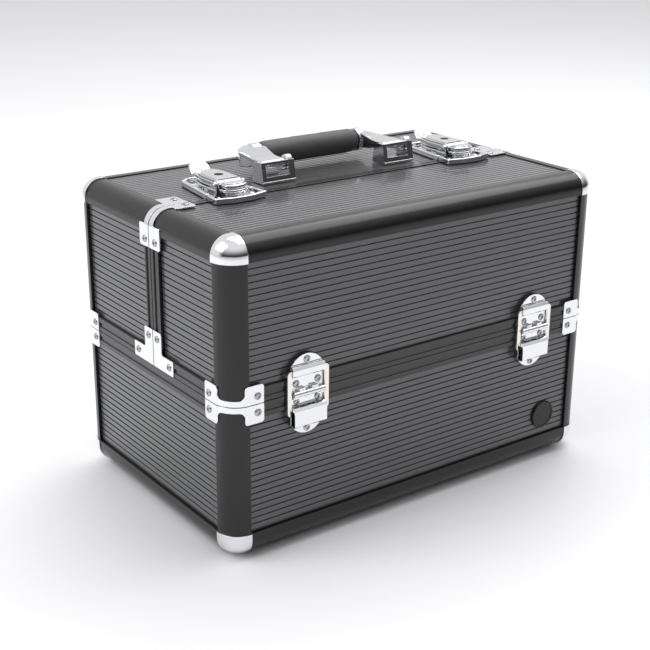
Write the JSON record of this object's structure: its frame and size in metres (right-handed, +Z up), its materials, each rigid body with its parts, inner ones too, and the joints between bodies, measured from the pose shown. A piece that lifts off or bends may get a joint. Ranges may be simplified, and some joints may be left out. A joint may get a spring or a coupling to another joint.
{
  "type": "sewing box with trays",
  "caption": "Rectangular ribbed black case with chrome corners, split lids that swing out on both sides, cantilever trays inside, latches and a folding carry handle on top.",
  "frame": {"origin": "middle of the footprint on the plane the feet stand on", "axes": "+X along the length, -Y the front face, +Z up"},
  "size_m": [0.3642, 0.2398, 0.2713],
  "materials": {
    "lining": "soft black flocked cloth",
    "floor_panel": "fine grained black board",
    "ribbed_panel": "black anodised ribbed sheet, satin",
    "frame": "satin black",
    "foot_rubber": "matte",
    "badge": "glossy black",
    "tray": "fine grained black",
    "rivet_steel": "bright",
    "arm_steel": "bright rolled strip",
    "grip": "soft padded black cover",
    "chrome_hardware": "polished"
  },
  "bodies": {
    "base": {"base_lining": "lining", "base_floor": "floor_panel", "base_front_panel": "ribbed_panel", "base_rear_panel": "ribbed_panel", "base_side_panels": "ribbed_panel", "base_corner_posts": "frame", "base_seam_frame": "frame", "base_bottom_frame": "frame", "base_corner_caps": "chrome_hardware", "base_seam_brackets": "chrome_hardware", "base_rivets": "rivet_steel", "base_arm_pivots": "rivet_steel", "rubber_feet": "foot_rubber", "lower_hinge_leaves": "chrome_hardware", "hinge_pins": "rivet_steel", "round_badge": "badge"},
    "front_lid": {"front_lid_lining": "lining", "front_lid_top_panel": "ribbed_panel", "front_lid_face_panel": "ribbed_panel", "front_lid_side_panels": "ribbed_panel", "front_lid_posts": "frame", "front_lid_top_frame": "frame", "front_lid_seam_frame": "frame", "front_lid_split_frame": "frame", "front_lid_corner_caps": "chrome_hardware", "front_lid_seam_brackets": "chrome_hardware", "front_lid_split_brackets": "chrome_hardware", "front_lid_rivets": "rivet_steel", "front_hinge_upper_leaves": "chrome_hardware", "front_latch_strikes": "chrome_hardware", "front_tray_pivots": "rivet_steel"},
    "rear_lid": {"rear_lid_lining": "lining", "rear_lid_top_panel": "ribbed_panel", "rear_lid_face_panel": "ribbed_panel", "rear_lid_side_panels": "ribbed_panel", "rear_lid_posts": "frame", "rear_lid_top_frame": "frame", "rear_lid_seam_frame": "frame", "rear_lid_split_frame": "frame", "rear_lid_corner_caps": "chrome_hardware", "rear_lid_seam_brackets": "chrome_hardware", "rear_lid_split_brackets": "chrome_hardware", "rear_lid_rivets": "rivet_steel", "rear_hinge_upper_leaves": "chrome_hardware", "rear_latch_bases": "chrome_hardware", "rear_tray_pivots": "rivet_steel", "handle_brackets": "chrome_hardware"},
    "handle": {"handle_ends": "chrome_hardware", "handle_grip": "grip"},
    "front_stay_rings": {"front_stay_rings": "chrome_hardware"},
    "rear_stay_rings": {"rear_stay_rings": "chrome_hardware"},
    "front_upper_tray": {"front_upper_tray": "tray"},
    "front_lower_tray": {"front_lower_tray": "tray"},
    "rear_upper_tray": {"rear_upper_tray": "tray"},
    "rear_lower_tray": {"rear_lower_tray": "tray"},
    "front_tray_arms": {"front_tray_arms": "arm_steel"},
    "rear_tray_arms": {"rear_tray_arms": "arm_steel"},
    "latch_lever_left": {"latch_lever_left": "chrome_hardware"},
    "latch_lever_right": {"latch_lever_right": "chrome_hardware"}
  },
  "joints": [
    {"name": "front_lid_hinge", "type": "hinge", "parent": "base", "child": "front_lid", "pos_m": [0, -0.1169, 0.1253], "axis": [1, 0, 0], "range_deg": [0, 85]},
    {"name": "front_upper_tray_pivot", "type": "hinge", "parent": "front_lid", "child": "front_upper_tray", "pos_m": [0, -0.061, 0.1903], "axis": [1, 0, 0], "range_deg": [-85, 0]},
    {"name": "front_lower_tray_pivot", "type": "hinge", "parent": "front_lid", "child": "front_lower_tray", "pos_m": [0, -0.09454, 0.1513], "axis": [1, 0, 0], "range_deg": [-85, 0]},
    {"name": "front_arm_pivot", "type": "hinge", "parent": "base", "child": "front_tray_arms", "pos_m": [0, -0.077, 0.1203], "axis": [1, 0, 0], "range_deg": [0, 85]},
    {"name": "front_stay_ring_pivot", "type": "hinge", "parent": "front_lid", "child": "front_stay_rings", "pos_m": [0, -0.1154, 0.1418], "axis": [1, 0, 0], "range_deg": [-50.58, 0]},
    {"name": "rear_lid_hinge", "type": "hinge", "parent": "base", "child": "rear_lid", "pos_m": [0, 0.1169, 0.1253], "axis": [-1, 0, 0], "range_deg": [0, 85]},
    {"name": "rear_upper_tray_pivot", "type": "hinge", "parent": "rear_lid", "child": "rear_upper_tray", "pos_m": [0, 0.061, 0.1903], "axis": [-1, 0, 0], "range_deg": [-85, 0]},
    {"name": "rear_lower_tray_pivot", "type": "hinge", "parent": "rear_lid", "child": "rear_lower_tray", "pos_m": [0, 0.09454, 0.1513], "axis": [-1, 0, 0], "range_deg": [-85, 0]},
    {"name": "rear_arm_pivot", "type": "hinge", "parent": "base", "child": "rear_tray_arms", "pos_m": [0, 0.077, 0.1203], "axis": [-1, 0, 0], "range_deg": [0, 85]},
    {"name": "rear_stay_ring_pivot", "type": "hinge", "parent": "rear_lid", "child": "rear_stay_rings", "pos_m": [0, 0.1154, 0.1418], "axis": [-1, 0, 0], "range_deg": [-50.58, 0]},
    {"name": "latch_lever_left_hinge", "type": "hinge", "parent": "rear_lid", "child": "latch_lever_left", "pos_m": [-0.1095, -0.0055, 0.2566], "axis": [1, 0, 0], "range_deg": [0, 75]},
    {"name": "latch_lever_right_hinge", "type": "hinge", "parent": "rear_lid", "child": "latch_lever_right", "pos_m": [0.118, -0.0055, 0.2566], "axis": [1, 0, 0], "range_deg": [0, 75]},
    {"name": "handle_pivot", "type": "hinge", "parent": "rear_lid", "child": "handle", "pos_m": [0.004, 0.0154, 0.259], "axis": [1, 0, 0], "range_deg": [0, 90]}
  ],
  "couplings": [
    {"joint": "front_upper_tray_pivot", "follows": "front_lid_hinge", "ratio": -1},
    {"joint": "front_lower_tray_pivot", "follows": "front_lid_hinge", "ratio": -1},
    {"joint": "front_arm_pivot", "follows": "front_lid_hinge", "ratio": 1},
    {"joint": "front_stay_ring_pivot", "follows": "front_lid_hinge", "ratio": -0.595},
    {"joint": "rear_upper_tray_pivot", "follows": "rear_lid_hinge", "ratio": -1},
    {"joint": "rear_lower_tray_pivot", "follows": "rear_lid_hinge", "ratio": -1},
    {"joint": "rear_arm_pivot", "follows": "rear_lid_hinge", "ratio": 1},
    {"joint": "rear_stay_ring_pivot", "follows": "rear_lid_hinge", "ratio": -0.595}
  ]
}
